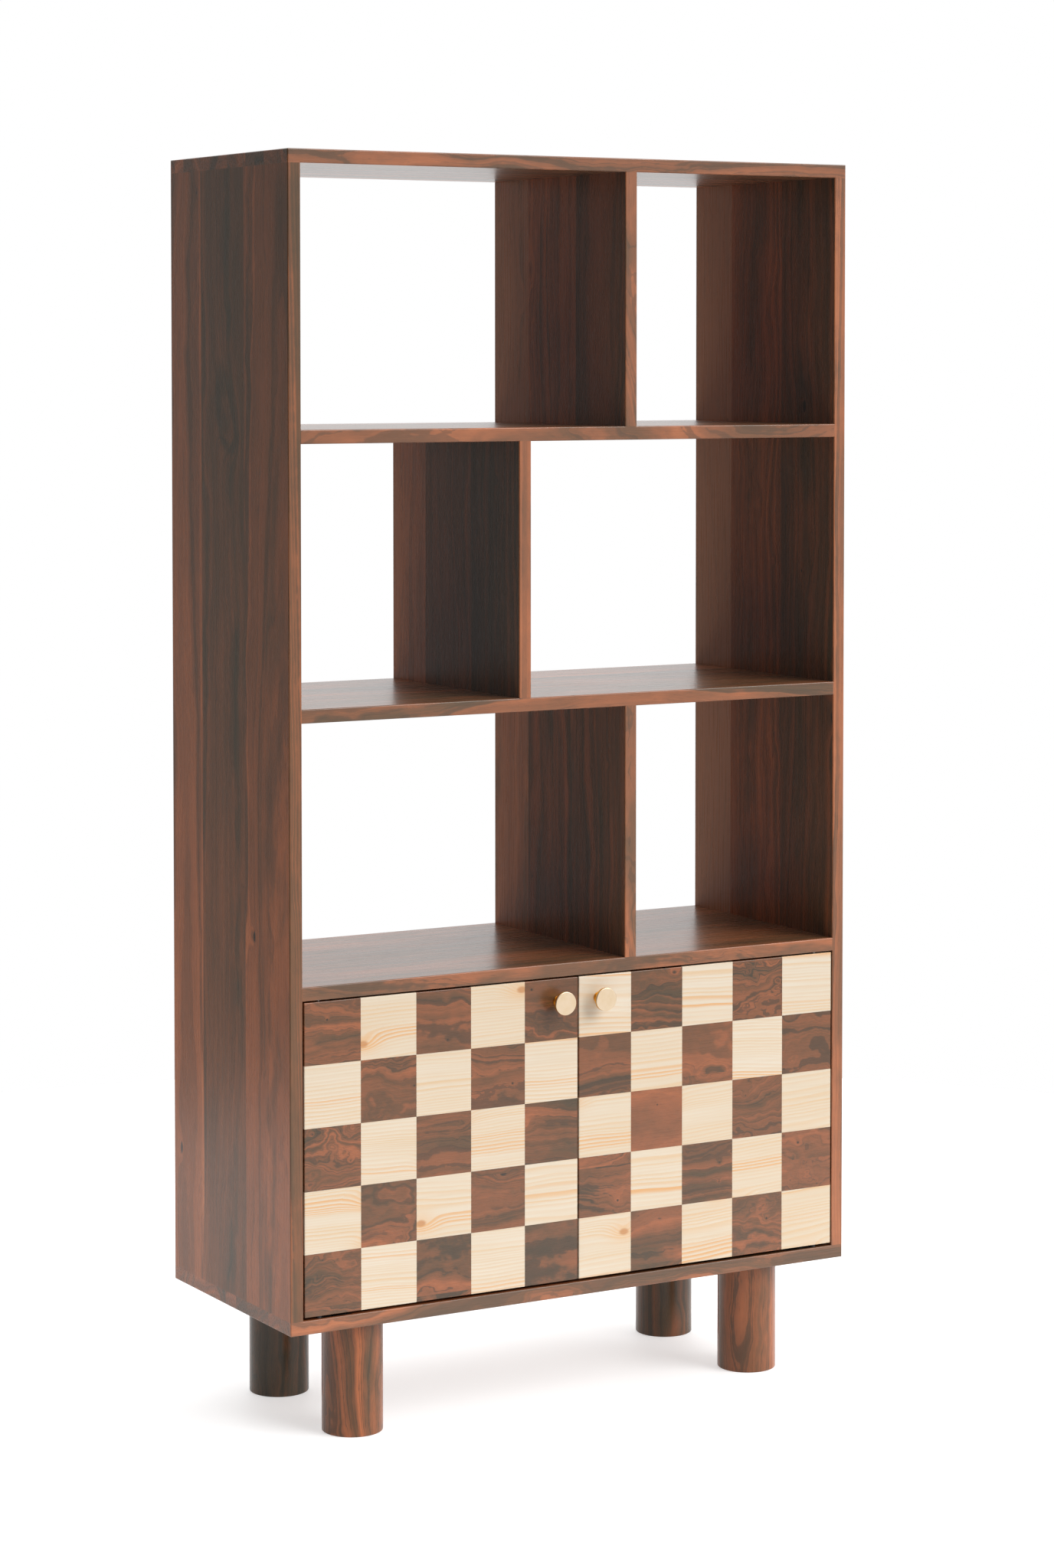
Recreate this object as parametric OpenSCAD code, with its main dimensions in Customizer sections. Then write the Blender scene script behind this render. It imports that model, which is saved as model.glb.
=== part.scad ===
// Cube storage unit: six open compartments over a two-door cabinet, on four round legs.
// Sizes in millimetres. +Z is up and the front faces -Y. The origin is on the floor,
// under the middle of the whole unit with its knobs.

/* [Carcass] */
// Width across the side panels
unit_w = 850; // [700:1:1100]
// Depth from the front edges to the back edges
unit_d = 352; // [280:1:450]
// Thickness of the dark boards
board_t = 18; // [15:0.1:25]
// Clear height of each open tier
tier_h = 336; // [260:1:420]
// Clear height of the cabinet behind the doors
cabinet_h = 410; // [300:1:500]
// Clear width of the narrow compartment in each tier
narrow_w = 317; // [220:0.1:385]
// Round-over on the edges of the carcass
edge_r = 1.5; // [0.5:0.1:3]

/* [Dowels] */
// Diameter of the wooden dowels
dowel_d = 8; // [6:0.1:8]
// Length of the wooden dowels
dowel_l = 30; // [24:1:40]
// Depth that a dowel goes into the face of a board
dowel_face_depth = 10; // [7:0.1:12]
// Distance of the outer dowels from the front and back edges
dowel_inset = 40; // [25:1:60]
// Radial room round a dowel
dowel_fit = 0.05; // [0.02:0.01:0.2]
// Room past each end of a dowel
dowel_end_room = 0.5; // [0.2:0.1:1]

/* [Legs] */
// Height of the legs, floor to bottom board
leg_h = 150; // [100:1:220]
// Diameter of the legs
leg_d = 80; // [50:1:100]
// Distance from a leg's centre to the side of the unit
leg_from_side = 118.5; // [60:0.5:180]
// Distance from a front leg's centre to the front
leg_from_front = 60; // [52:0.5:100]
// Distance from a rear leg's centre to the back
leg_from_back = 76.5; // [52:0.5:110]
// Round-over at the foot of a leg
foot_r = 2; // [0.5:0.1:5]
// Diameter of the threaded rod that holds a leg
rod_d = 8; // [6:0.1:10]
// Length of that rod inside the leg
rod_in_leg = 36; // [24:1:60]
// Diameter of the threaded insert in the bottom board
insert_d = 12; // [11:0.1:14]
// Length of the threaded insert
insert_l = 12.5; // [9:0.1:13]
// Radial room round the insert and round the rod
leg_hardware_fit = 0.05; // [0.02:0.01:0.1]

/* [Doors] */
// Gap beside the doors and between them
door_side_gap = 2; // [1.5:0.1:3]
// Gap above the doors
door_top_gap = 2; // [1.5:0.1:4]
// Gap below the doors
door_bottom_gap = 4; // [2:0.1:5]
// Thickness of a door
door_t = 18; // [16:0.1:24]
// Thickness of the tile layer on a door's face
tile_t = 4; // [2:0.1:5]
// Tiles along each side of a door
tile_count = 5; // [3:2:9]
// Hairline joint between neighbouring tiles
tile_joint = 0.1; // [0.05:0.01:0.5]
// Round-over on the edges of a door
door_edge_r = 1; // [0.3:0.1:1.8]

/* [Knobs] */
// Diameter of a knob's round face
knob_d = 31; // [20:0.5:40]
// Distance that a knob stands out from its door
knob_h = 21; // [16:0.5:30]
// Thickness of a knob's rim
knob_rim_t = 4; // [2:0.1:6]
// Diameter of a knob's foot
knob_foot_d = 15; // [12:0.1:19]
// Diameter of a knob's waist
knob_waist_d = 12.5; // [9:0.1:14]
// Round-over round a knob's face
knob_edge_r = 0.8; // [0.3:0.1:1.5]
// Distance from a knob's axis to the free edge and to the top of its door
knob_inset = 30; // [22:0.5:60]
// Diameter of the machine screw that holds a knob
knob_screw_d = 4; // [3:0.1:5]
// Length of that screw inside the knob
knob_screw_in_knob = 9; // [6:0.1:11]

/* [Pivot hinges] */
// Diameter of a pivot pin
pin_d = 5; // [3:0.1:5.5]
// Radial room of a pin in a door's leaf
pin_running_fit = 0.05; // [0.02:0.01:0.1]
// Radial room of a pin in the leaf that holds it
pin_fixed_fit = 0.01; // [0.01:0.01:0.03]
// Length of a pin beyond a door's leaf
pin_reach = 4; // [2:0.5:8]
// Length of a hinge leaf
leaf_l = 52; // [40:1:70]
// Width of a hinge leaf
leaf_w = 9; // [7.5:0.1:10]
// Thickness of a hinge leaf
leaf_t = 2.5; // [2:0.1:4]
// Room round a leaf in its recess
leaf_fit = 0.1; // [0.05:0.05:0.3]
// Wood between a door's tile layer and its leaf's recess
leaf_cover = 0.5; // [0.3:0.1:2]
// Room left between a turning door's edge and the side panel
swing_room = 0.35; // [0.3:0.05:0.8]
// Upright play between a bearing washer and the door above it
washer_play = 0.3; // [0.2:0.05:0.5]

/* [Door catches] */
// Distance from the middle of the unit to the middle of a catch
catch_from_middle = 62; // [56:1:140]
// Width of a catch's body
catch_w = 26; // [20:1:40]
// Depth of a catch from front to back
catch_depth = 16; // [12:1:24]
// Height of a catch below its shelf
catch_h = 14; // [11:1:20]
// Width of each fixing ear beside a catch's body
catch_ear_w = 10; // [8:0.5:14]
// Thickness of the fixing ears
catch_ear_t = 3; // [2:0.5:5]
// Air between a catch and its closed door's strike plate
catch_gap = 0.5; // [0.3:0.1:1]
// Plastic left round the magnet
magnet_wall = 2; // [1.5:0.5:4]
// Depth of the magnet
magnet_depth = 9; // [6:0.5:11]
// Room round the magnet in its pocket
magnet_fit = 0.1; // [0.05:0.05:0.3]
// Thickness of a strike plate
strike_t = 1; // [0.6:0.1:2]
// Width of a strike plate
strike_w = 28; // [20:1:36]

/* [Back panel] */
// Thickness of the panel behind the cabinet
panel_t = 6; // [4:0.5:9]
// Width of the rebate that the panel sits in
rebate_w = 9; // [7:0.5:11]
// Gap round the panel in its rebate
panel_gap = 0.5; // [0.2:0.1:1]
// Screws along each edge of the panel
panel_screws_per_edge = 4; // [3:1:7]

/* [Wood screws] */
// Diameter of the countersunk screws
screw_d = 3; // [2.5:0.1:3.2]
// Diameter of their heads
screw_head_d = 5.6; // [5:0.1:5.8]
// Length of the screws in hinge leaves, catches and strike plates
short_screw_l = 11; // [9:1:12]
// Length of the screws in the back panel
panel_screw_l = 20; // [16:1:26]
// Radial room round a screw
screw_fit = 0.05; // [0.02:0.01:0.1]

/* [Hidden] */
$fn = 64;

dark_wood = [0.36, 0.22, 0.16];
light_wood = [0.90, 0.81, 0.66];
core_wood = [0.72, 0.58, 0.42];
brass = [0.83, 0.66, 0.36];
steel = [0.70, 0.71, 0.72];
black_plastic = [0.10, 0.10, 0.11];
nylon = [0.92, 0.92, 0.89];

// A cut runs this far past the face that it opens
over = 1;

// Depth: the knobs stand out in front, and the whole is centred on the origin
front_y = knob_h - (unit_d + knob_h) / 2;
back_y = front_y + unit_d;

// Width
inner_w = unit_w - 2 * board_t;
left_x = -unit_w / 2;
inner_left = -inner_w / 2;
inner_right = inner_w / 2;

// Height, from the floor up
floor_z = leg_h + board_t;
cabinet_shelf_z = floor_z + cabinet_h;
middle_shelf_z = cabinet_shelf_z + board_t + tier_h;
upper_shelf_z = middle_shelf_z + board_t + tier_h;
top_board_z = upper_shelf_z + board_t + tier_h;
carcass_h = top_board_z + board_t - leg_h;

// Left faces of the dividers: the narrow compartment is on the right in the upper and
// lower tiers and on the left in the middle tier
divider_right_x = inner_right - narrow_w - board_t;
divider_left_x = inner_left + narrow_w;

// Doors
door_w = (inner_w - 3 * door_side_gap) / 2;
door_h = cabinet_h - door_top_gap - door_bottom_gap;
door_z = floor_z + door_bottom_gap;
door_back_y = front_y + door_t;

// The pivot is as near a door's edge as its front corner's swing allows
corner_room = door_side_gap - swing_room;
pivot_from_front = tile_t + leaf_cover + leaf_w / 2;
pivot_from_edge = (pow(pivot_from_front, 2) - pow(corner_room, 2)) / (2 * corner_room);
pivot_x = inner_left + door_side_gap + pivot_from_edge;
pivot_y = front_y + pivot_from_front;
leaf_screw_1 = leaf_l * 0.35;
leaf_screw_2 = leaf_l * 0.73;

screw_head_h = (screw_head_d - screw_d) / 2;
screw_point_h = screw_d;
recess_w = screw_d * 0.28;
knob_screw_head_d = knob_screw_d * 2;
knob_screw_head_h = knob_screw_d * 0.6;

// The height of the catches' magnets and the strike plates below the cabinet's shelf
magnet_drop = catch_h / 2 + 1;
strike_h = 10;

// [left, right, bottom, top] of each opening in the front of the carcass
tier_bottoms = [for (shelf = [cabinet_shelf_z, middle_shelf_z, upper_shelf_z]) shelf + board_t];
lower_left_opening = [inner_left, divider_right_x, tier_bottoms[0], middle_shelf_z];
lower_right_opening = [divider_right_x + board_t, inner_right, tier_bottoms[0], middle_shelf_z];
middle_left_opening = [inner_left, divider_left_x, tier_bottoms[1], upper_shelf_z];
middle_right_opening = [divider_left_x + board_t, inner_right, tier_bottoms[1], upper_shelf_z];
upper_left_opening = [inner_left, divider_right_x, tier_bottoms[2], top_board_z];
upper_right_opening = [divider_right_x + board_t, inner_right, tier_bottoms[2], top_board_z];
cabinet_opening = [inner_left, inner_right, floor_z, cabinet_shelf_z];

// Where the rows of dowels stand, front to back
function dowel_rows(count) =
    [for (i = [0 : count - 1]) front_y + dowel_inset + i * (unit_d - 2 * dowel_inset) / (count - 1)];
side_dowel_rows = dowel_rows(4);
shelf_dowel_rows = dowel_rows(3);

// ---- shared shapes ----

// A rectangle with its corner at the origin and its corners rounded
module rounded_rect(size, r) {
    translate([r, 0]) square([size.x - 2 * r, size.y]);
    translate([0, r]) square([size.x, size.y - 2 * r]);
    for (x = [r, size.x - r], y = [r, size.y - r]) translate([x, y]) circle(r);
}

// A block with its corner at the origin and all its edges rounded
module eased_block(size, r) {
    intersection() {
        linear_extrude(size.z) rounded_rect([size.x, size.y], r);
        translate([0, size.y, 0]) rotate([90, 0, 0])
            linear_extrude(size.y) rounded_rect([size.x, size.z], r);
        rotate([90, 0, 90]) linear_extrude(size.x) rounded_rect([size.y, size.z], r);
    }
}

// The carcass's outer shape, of which each outer board is a slice
module carcass_block() {
    translate([left_x, front_y, leg_h]) eased_block([unit_w, unit_d, carcass_h], edge_r);
}

// An opening seen along its wall: x runs from the front to the back, y across it. It
// widens at both faces by the round-over of the boards' edges
module flared_strip(across) {
    difference() {
        translate([-over, -edge_r]) square([unit_d + 2 * over, across + 2 * edge_r]);
        for (edge = [-edge_r, across + edge_r]) {
            translate([edge_r, edge - edge_r]) square([unit_d - 2 * edge_r, 2 * edge_r]);
            for (depth = [edge_r, unit_d - edge_r]) translate([depth, edge]) circle(edge_r);
        }
    }
}

// The space of one opening, with the round-over of the edges about it
module opening_cut(o) {
    reach = edge_r + over;
    intersection() {
        translate([o[0], front_y, o[2] - reach]) mirror([1, -1, 0])
            linear_extrude(o[3] - o[2] + 2 * reach) flared_strip(o[1] - o[0]);
        translate([o[0] - reach, front_y, o[2]]) rotate([90, 0, 90])
            linear_extrude(o[1] - o[0] + 2 * reach) flared_strip(o[3] - o[2]);
    }
}

// Builds a right-hand piece as the mirror image of the left-hand one
module on_side(side) {
    if (side == "right") mirror([1, 0, 0]) children();
    else children();
}

// ---- dowels and their holes ----

// A dowel that stands up from z = 0, half hidden on each side of it
module dowel(room = 0, end_room = 0) {
    translate([0, 0, dowel_face_depth - dowel_l - end_room])
        cylinder(h = dowel_l + 2 * end_room, d = dowel_d + 2 * room);
}

module dowel_hole() {
    dowel(dowel_fit, dowel_end_room);
}

// Dowels between the side panels and the top and bottom boards
module at_side_panel_dowels() {
    for (side = [-1, 1], y = side_dowel_rows)
        translate([side * (unit_w - board_t) / 2, y, 0]) {
            translate([0, 0, top_board_z]) children();
            translate([0, 0, floor_z]) mirror([0, 0, 1]) children();
        }
}

// Dowels between one shelf and both side panels
module at_shelf_dowels(shelf_z) {
    for (side = ["left", "right"], y = shelf_dowel_rows)
        on_side(side) translate([inner_left, y, shelf_z + board_t / 2]) rotate([0, -90, 0]) children();
}

// Dowels at both ends of one divider
module at_divider_dowels(divider_x, tier) {
    for (y = shelf_dowel_rows) translate([divider_x + board_t / 2, y, 0]) {
        translate([0, 0, tier_bottoms[tier]]) mirror([0, 0, 1]) children();
        translate([0, 0, tier_bottoms[tier] + tier_h]) children();
    }
}

module side_panel_dowels() {
    color(light_wood) at_side_panel_dowels() dowel();
}

module shelf_dowels() {
    color(light_wood)
        for (z = [cabinet_shelf_z, middle_shelf_z, upper_shelf_z]) at_shelf_dowels(z) dowel();
}

module divider_dowels() {
    color(light_wood) {
        at_divider_dowels(divider_right_x, 0) dowel();
        at_divider_dowels(divider_left_x, 1) dowel();
        at_divider_dowels(divider_right_x, 2) dowel();
    }
}

// ---- countersunk screws ----

// A cross-shaped recess that opens at z = 0
module cross_recess(width) {
    for (turn = [0, 90]) rotate(turn)
        translate([-width * 1.5, -width / 2, -width * 1.3]) cube([width * 3, width, width * 1.3 + over]);
}

// The face of the head is at z = 0 and the screw points down
module flat_screw(length) {
    straight_l = length - screw_head_h - screw_point_h;
    difference() {
        union() {
            translate([0, 0, -screw_head_h])
                cylinder(h = screw_head_h, d1 = screw_d, d2 = screw_head_d);
            translate([0, 0, -screw_head_h - straight_l]) cylinder(h = straight_l, d = screw_d);
            translate([0, 0, -length])
                cylinder(h = screw_point_h, d1 = screw_d * 0.3, d2 = screw_d);
        }
        cross_recess(recess_w);
    }
}

module flat_screw_hole(length) {
    translate([0, 0, -screw_head_h])
        cylinder(h = screw_head_h, d1 = screw_d + 2 * screw_fit, d2 = screw_head_d + 2 * screw_fit);
    translate([0, 0, -length - dowel_end_room])
        cylinder(h = length + dowel_end_room, d = screw_d + 2 * screw_fit);
    cylinder(h = over, d = screw_head_d + 2 * screw_fit);
}

// ---- legs ----

module at_leg(x_side, y_place) {
    y = y_place == "front" ? front_y + leg_from_front : back_y - leg_from_back;
    translate([x_side * (unit_w / 2 - leg_from_side), y, 0]) children();
}

module at_legs() {
    for (x_side = [-1, 1], y_place = ["front", "rear"]) at_leg(x_side, y_place) children();
}

module leg() {
    r = leg_d / 2;
    color(dark_wood) difference() {
        rotate_extrude($fn = 96) {
            square([r - foot_r, leg_h]);
            translate([0, foot_r]) square([r, leg_h - foot_r]);
            translate([r - foot_r, foot_r]) circle(foot_r);
        }
        translate([0, 0, leg_h - rod_in_leg - dowel_end_room])
            cylinder(h = rod_in_leg + dowel_end_room + over, d = rod_d + 2 * leg_hardware_fit);
    }
}

module leg_front_left() {
    at_leg(-1, "front") leg();
}

module leg_front_right() {
    at_leg(1, "front") leg();
}

module leg_rear_left() {
    at_leg(-1, "rear") leg();
}

module leg_rear_right() {
    at_leg(1, "rear") leg();
}

module leg_threaded_inserts() {
    color(steel) at_legs() translate([0, 0, leg_h]) difference() {
        cylinder(h = insert_l, d = insert_d);
        translate([0, 0, -over])
            cylinder(h = insert_l + 2 * over, d = rod_d + 2 * leg_hardware_fit);
    }
}

module leg_insert_holes() {
    at_legs() translate([0, 0, leg_h - over])
        cylinder(h = insert_l + dowel_end_room + over, d = insert_d + 2 * leg_hardware_fit);
}

module leg_threaded_rods() {
    color(steel) at_legs() translate([0, 0, leg_h - rod_in_leg])
        cylinder(h = rod_in_leg + insert_l, d = rod_d);
}

// ---- back panel of the cabinet ----

module back_rebate() {
    translate([inner_left - rebate_w, back_y - panel_t, floor_z - rebate_w])
        cube([inner_w + 2 * rebate_w, panel_t + over, cabinet_h + 2 * rebate_w]);
}

// Screws stand on the middle of the rebate, all round the panel
module at_panel_screws() {
    half_w = inner_w / 2 + rebate_w / 2;
    half_h = cabinet_h / 2 + rebate_w / 2;
    last = panel_screws_per_edge;
    translate([0, back_y, floor_z + cabinet_h / 2]) for (i = [1 : last]) {
        share = (2 * i - 1 - last) / last;
        for (side = [-1, 1]) {
            translate([share * half_w, 0, side * half_h]) rotate([-90, 0, 0]) children();
            translate([side * half_w, 0, share * half_h]) rotate([-90, 0, 0]) children();
        }
    }
}

module cabinet_back_panel() {
    color(core_wood) difference() {
        translate([inner_left - rebate_w + panel_gap, back_y - panel_t, floor_z - rebate_w + panel_gap])
            cube([inner_w + 2 * (rebate_w - panel_gap), panel_t, cabinet_h + 2 * (rebate_w - panel_gap)]);
        at_panel_screws() flat_screw_hole(panel_screw_l);
    }
}

module back_panel_screws() {
    color(steel) at_panel_screws() flat_screw(panel_screw_l);
}

// ---- pivot hinges ----

// A leaf's outline: its pivot is at the origin and it runs along +X
module leaf_outline(room) {
    run = leaf_l - leaf_w;
    translate([0, -leaf_w / 2 - room]) square([run, leaf_w + 2 * room]);
    for (x = [0, run]) translate([x, 0]) circle(leaf_w / 2 + room);
}

module at_leaf_screws() {
    for (x = [leaf_screw_1, leaf_screw_2]) translate([x, 0, 0]) children();
}

// A leaf sunk below z = 0, with a hole for its pin
module hinge_leaf(pin_room) {
    difference() {
        translate([0, 0, -leaf_t]) linear_extrude(leaf_t) leaf_outline(0);
        translate([0, 0, -leaf_t - over])
            cylinder(h = leaf_t + 2 * over, d = pin_d + 2 * pin_room);
        at_leaf_screws() flat_screw_hole(short_screw_l);
    }
}

// What a leaf, its screws and the end of its pin take out of the wood
module hinge_leaf_recess(pin_depth = 0) {
    translate([0, 0, -leaf_t]) linear_extrude(leaf_t + over) leaf_outline(leaf_fit);
    at_leaf_screws() flat_screw_hole(short_screw_l);
    if (pin_depth > 0)
        translate([0, 0, -leaf_t - pin_depth]) cylinder(h = pin_depth + over, d = pin_d + 1);
}

// The carcass holds one leaf below each door and one above it
module at_carcass_leaves() {
    translate([pivot_x, pivot_y, floor_z]) children();
    translate([pivot_x, pivot_y, cabinet_shelf_z]) mirror([0, 0, 1]) children();
}

// A door holds one leaf in its bottom edge and one in its top edge
module at_door_leaves() {
    translate([pivot_x, pivot_y, door_z]) mirror([0, 0, 1]) children();
    translate([pivot_x, pivot_y, door_z + door_h]) children();
}

module carcass_hinge_leaves(side) {
    color(steel) on_side(side) at_carcass_leaves() hinge_leaf(pin_fixed_fit);
}

module left_carcass_hinge_leaves() {
    carcass_hinge_leaves("left");
}

module right_carcass_hinge_leaves() {
    carcass_hinge_leaves("right");
}

module carcass_leaf_recesses() {
    for (side = ["left", "right"]) on_side(side) at_carcass_leaves() hinge_leaf_recess();
}

module carcass_hinge_screws() {
    color(steel) for (side = ["left", "right"])
        on_side(side) at_carcass_leaves() at_leaf_screws() flat_screw(short_screw_l);
}

// Each pin is fixed in the carcass's leaf and runs in the door's leaf
module hinge_pins() {
    both_leaves = 2 * leaf_t + pin_reach;
    color(steel) for (side = ["left", "right"]) on_side(side) {
        translate([pivot_x, pivot_y, floor_z - leaf_t])
            cylinder(h = both_leaves + door_bottom_gap, d = pin_d);
        translate([pivot_x, pivot_y, cabinet_shelf_z + leaf_t]) mirror([0, 0, 1])
            cylinder(h = both_leaves + door_top_gap, d = pin_d);
    }
}

module hinge_bearing_washers() {
    washer_t = door_bottom_gap - washer_play;
    color(nylon) for (side = ["left", "right"]) on_side(side)
        translate([pivot_x, pivot_y, floor_z]) difference() {
            cylinder(h = washer_t, d = leaf_w - 2 * leaf_fit);
            translate([0, 0, -over]) cylinder(h = washer_t + 2 * over, d = pin_d + 2 * pin_running_fit);
        }
}

// ---- magnetic door catches ----

// A catch's own frame: x across its middle, y back from its front, z down to its shelf
module at_catch(side) {
    on_side(side)
        translate([-catch_from_middle, door_back_y + strike_t + catch_gap, cabinet_shelf_z]) children();
}

module at_catch_screws() {
    for (x_side = [-1, 1])
        translate([x_side * (catch_w + catch_ear_w) / 2, catch_depth / 2, -catch_ear_t])
            mirror([0, 0, 1]) children();
}

module magnet_block(room) {
    block_w = catch_w - 2 * magnet_wall - 2 * magnet_fit;
    block_h = 2 * (catch_h - magnet_drop - magnet_wall - magnet_fit);
    translate([-block_w / 2 - room, 0, -magnet_drop - block_h / 2 - room])
        cube([block_w + 2 * room, magnet_depth + room, block_h + 2 * room]);
}

module catch_housings() {
    color(black_plastic) for (side = ["left", "right"]) at_catch(side) difference() {
        union() {
            translate([-catch_w / 2, 0, -catch_h]) cube([catch_w, catch_depth, catch_h]);
            translate([-catch_w / 2 - catch_ear_w, 0, -catch_ear_t])
                cube([catch_w + 2 * catch_ear_w, catch_depth, catch_ear_t]);
        }
        magnet_block(magnet_fit);
        translate([0, -over, 0]) magnet_block(magnet_fit);
        at_catch_screws() flat_screw_hole(short_screw_l);
    }
}

module catch_magnets() {
    color(steel) for (side = ["left", "right"]) at_catch(side) magnet_block(0);
}

module catch_screws() {
    color(steel) for (side = ["left", "right"]) at_catch(side) at_catch_screws() flat_screw(short_screw_l);
}

module catch_screw_holes() {
    for (side = ["left", "right"]) at_catch(side) at_catch_screws() flat_screw_hole(short_screw_l);
}

// ---- carcass boards ----

module top_board() {
    color(dark_wood) difference() {
        intersection() {
            carcass_block();
            translate([left_x, front_y, top_board_z]) cube([unit_w, unit_d, board_t]);
        }
        opening_cut(upper_left_opening);
        opening_cut(upper_right_opening);
        at_side_panel_dowels() dowel_hole();
        at_divider_dowels(divider_right_x, 2) dowel_hole();
    }
}

module bottom_board() {
    color(dark_wood) difference() {
        intersection() {
            carcass_block();
            translate([left_x, front_y, leg_h]) cube([unit_w, unit_d, board_t]);
        }
        opening_cut(cabinet_opening);
        back_rebate();
        at_panel_screws() flat_screw_hole(panel_screw_l);
        at_side_panel_dowels() dowel_hole();
        leg_insert_holes();
        carcass_leaf_recesses();
    }
}

// A side panel stands between the bottom board and the top board. It takes the round-over
// of the openings beside it
module side_panel(side, openings) {
    x = side == "left" ? left_x : inner_right;
    color(dark_wood) difference() {
        intersection() {
            carcass_block();
            translate([x, front_y, floor_z]) cube([board_t, unit_d, top_board_z - floor_z]);
        }
        for (o = openings) opening_cut(o);
        opening_cut(cabinet_opening);
        back_rebate();
        at_panel_screws() flat_screw_hole(panel_screw_l);
        at_side_panel_dowels() dowel_hole();
        for (z = [cabinet_shelf_z, middle_shelf_z, upper_shelf_z]) at_shelf_dowels(z) dowel_hole();
    }
}

module left_side_panel() {
    side_panel("left", [lower_left_opening, middle_left_opening, upper_left_opening]);
}

module right_side_panel() {
    side_panel("right", [lower_right_opening, middle_right_opening, upper_right_opening]);
}

// A shelf lies between the side panels. Its children are cut out of it
module shelf(z, openings) {
    color(dark_wood) difference() {
        translate([inner_left, front_y, z]) cube([inner_w, unit_d, board_t]);
        for (o = openings) opening_cut(o);
        at_shelf_dowels(z) dowel_hole();
        children();
    }
}

module upper_shelf() {
    shelf(upper_shelf_z,
        [upper_left_opening, upper_right_opening, middle_left_opening, middle_right_opening]) {
        at_divider_dowels(divider_right_x, 2) dowel_hole();
        at_divider_dowels(divider_left_x, 1) dowel_hole();
    }
}

module middle_shelf() {
    shelf(middle_shelf_z,
        [middle_left_opening, middle_right_opening, lower_left_opening, lower_right_opening]) {
        at_divider_dowels(divider_left_x, 1) dowel_hole();
        at_divider_dowels(divider_right_x, 0) dowel_hole();
    }
}

module cabinet_top_shelf() {
    shelf(cabinet_shelf_z, [lower_left_opening, lower_right_opening, cabinet_opening]) {
        at_divider_dowels(divider_right_x, 0) dowel_hole();
        back_rebate();
        at_panel_screws() flat_screw_hole(panel_screw_l);
        carcass_leaf_recesses();
        catch_screw_holes();
    }
}

// A divider stands in one tier, between two openings
module divider(x, tier, openings) {
    color(dark_wood) difference() {
        translate([x, front_y, tier_bottoms[tier]]) cube([board_t, unit_d, tier_h]);
        for (o = openings) opening_cut(o);
        at_divider_dowels(x, tier) dowel_hole();
    }
}

module upper_divider() {
    divider(divider_right_x, 2, [upper_left_opening, upper_right_opening]);
}

module middle_divider() {
    divider(divider_left_x, 1, [middle_left_opening, middle_right_opening]);
}

module lower_divider() {
    divider(divider_right_x, 0, [lower_left_opening, lower_right_opening]);
}

// ---- doors, built as the left door: x from its hinge edge, z from its bottom ----

module at_door(side) {
    on_side(side) translate([inner_left + door_side_gap, front_y, door_z]) children();
}

module door_block() {
    eased_block([door_w, door_t, door_h], door_edge_r);
}

// The knob's axis on the front face, with z pointing out of the door
module at_knob() {
    translate([door_w - knob_inset, 0, door_h - knob_inset]) rotate([90, 0, 0]) children();
}

module knob_screw_hole() {
    at_knob() translate([0, 0, -door_t - over])
        cylinder(h = door_t + 2 * over, d = knob_screw_d + 2 * screw_fit);
}

module door_core(side) {
    color(core_wood) on_side(side) difference() {
        translate([inner_left + door_side_gap, front_y, door_z]) intersection() {
            door_block();
            translate([0, tile_t, 0]) cube([door_w, door_t - tile_t, door_h]);
        }
        translate([inner_left + door_side_gap, front_y, door_z]) {
            knob_screw_hole();
            at_strike_plate() flat_screw_hole(short_screw_l);
        }
        at_door_leaves() hinge_leaf_recess(pin_reach + over);
    }
}

// The tiles whose column and row add up to an even number, or to an odd one
module door_tiles(side, parity, colour) {
    tile_w = door_w / tile_count;
    tile_h = door_h / tile_count;
    half_joint = tile_joint / 2;
    last = tile_count - 1;
    color(colour) at_door(side) difference() {
        intersection() {
            door_block();
            for (column = [0 : last], row = [0 : last]) if ((column + row) % 2 == parity) {
                low_x = column == 0 ? 0 : column * tile_w + half_joint;
                low_z = row == 0 ? 0 : row * tile_h + half_joint;
                high_x = column == last ? door_w : (column + 1) * tile_w - half_joint;
                high_z = row == last ? door_h : (row + 1) * tile_h - half_joint;
                translate([low_x, 0, low_z]) cube([high_x - low_x, tile_t, high_z - low_z]);
            }
        }
        knob_screw_hole();
    }
}

// A knob's outline turned about its axis: foot, hollow waist, flare and rim
module knob_outline() {
    r = knob_d / 2;
    foot_r_knob = knob_foot_d / 2;
    waist_r = knob_waist_d / 2;
    foot_t = 1.5;
    rim_z = knob_h - knob_rim_t;
    flare_r = r - waist_r;
    difference() {
        union() {
            square([foot_r_knob, foot_t]);
            square([waist_r, rim_z]);
            translate([0, rim_z - flare_r]) square([r, flare_r]);
        }
        translate([r, rim_z - flare_r]) circle(flare_r);
    }
    translate([0, rim_z]) {
        square([r, knob_rim_t - knob_edge_r]);
        square([r - knob_edge_r, knob_rim_t]);
        translate([r - knob_edge_r, knob_rim_t - knob_edge_r]) circle(knob_edge_r);
    }
}

module door_knob(side) {
    color(brass) at_door(side) at_knob() difference() {
        rotate_extrude($fn = 96) knob_outline();
        translate([0, 0, -over])
            cylinder(h = knob_screw_in_knob + dowel_end_room + over, d = knob_screw_d + 2 * screw_fit);
    }
}

module door_knob_screw(side) {
    color(steel) at_door(side) at_knob() translate([0, 0, -door_t]) difference() {
        union() {
            cylinder(h = door_t + knob_screw_in_knob, d = knob_screw_d);
            translate([0, 0, -knob_screw_head_h]) cylinder(h = knob_screw_head_h, d = knob_screw_head_d);
        }
        translate([0, 0, -knob_screw_head_h]) mirror([0, 0, 1]) cross_recess(knob_screw_d * 0.28);
    }
}

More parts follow.
